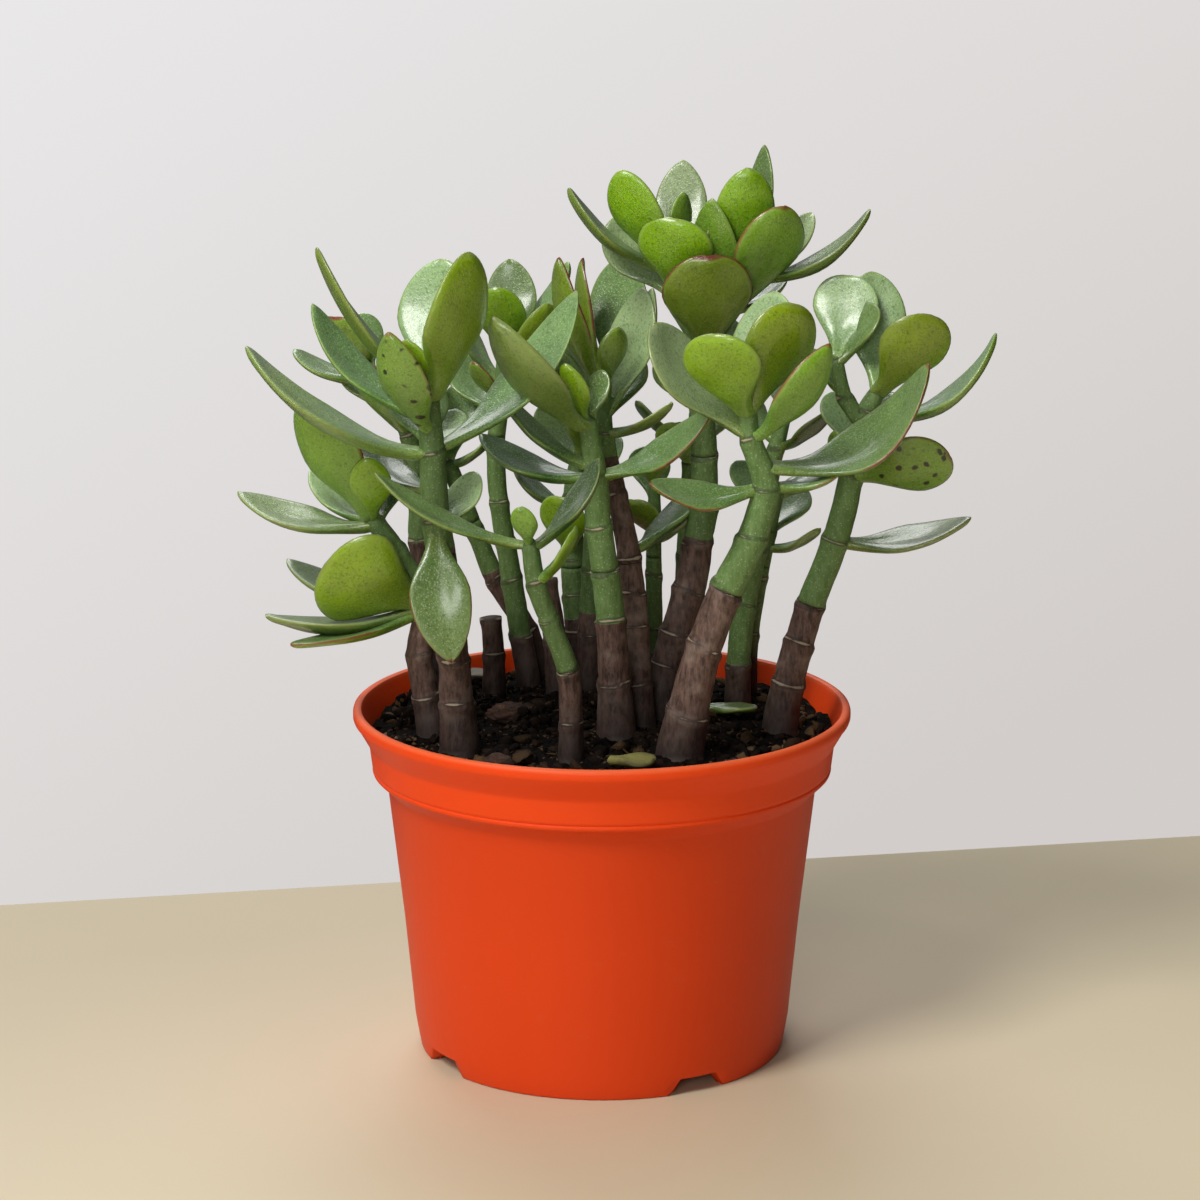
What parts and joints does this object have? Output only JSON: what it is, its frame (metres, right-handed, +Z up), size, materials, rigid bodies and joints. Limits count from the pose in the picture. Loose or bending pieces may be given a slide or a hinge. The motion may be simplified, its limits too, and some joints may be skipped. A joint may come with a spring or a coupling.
{
  "type": "potted jade plant",
  "caption": "Jade plant with jointed woody stems and fleshy spoon-shaped leaves, growing in soil in a tapered plastic nursery pot.",
  "frame": {"origin": "middle of the pot's foot, on the surface the pot stands on", "axes": "+Z up along the pot's axis, -Y towards the viewer of the plant's front"},
  "size_m": [0.2454, 0.165, 0.3002],
  "materials": {
    "pot": "satin",
    "soil": "matte",
    "bark": "matte",
    "stem": "matte",
    "leaf": "satin",
    "dry_leaf": "matte"
  },
  "bodies": {
    "root": {"pot": "pot", "potting_soil": "soil", "bark_left": "bark", "bark_front": "bark", "bark_right": "bark", "fallen_leaf_green": "leaf", "fallen_leaf_yellow": "dry_leaf", "fallen_leaf_grey": "dry_leaf", "stem_left_front": "stem", "stem_left_middle": "stem", "stem_left_rear": "stem", "stem_cut_stub": "stem", "stem_back_left": "stem", "stem_back_lean": "stem", "stem_back_short": "stem", "stem_back_middle": "stem", "stem_small_front": "stem", "stem_centre_back": "stem", "stem_centre_front": "stem", "stem_dark_lean": "stem", "stem_thin_back": "stem", "stem_thin_rear": "stem", "stem_tall_centre": "stem", "stem_right_front": "stem", "stem_right_middle": "stem", "stem_thin_right": "stem", "stem_right_edge": "stem", "shoot_left_front": "leaf", "shoot_left_middle": "leaf", "shoot_left_rear": "leaf", "shoot_back_left": "leaf", "shoot_back_lean": "leaf", "shoot_back_middle": "leaf", "shoot_small_front": "leaf", "shoot_centre_back": "leaf", "shoot_centre_front": "leaf", "shoot_dark_lean": "leaf", "shoot_thin_back": "leaf", "shoot_thin_rear": "leaf", "shoot_tall_centre": "leaf", "shoot_right_front": "leaf", "shoot_right_middle": "leaf", "shoot_thin_right": "leaf", "shoot_right_edge": "leaf"}
  },
  "joints": []
}
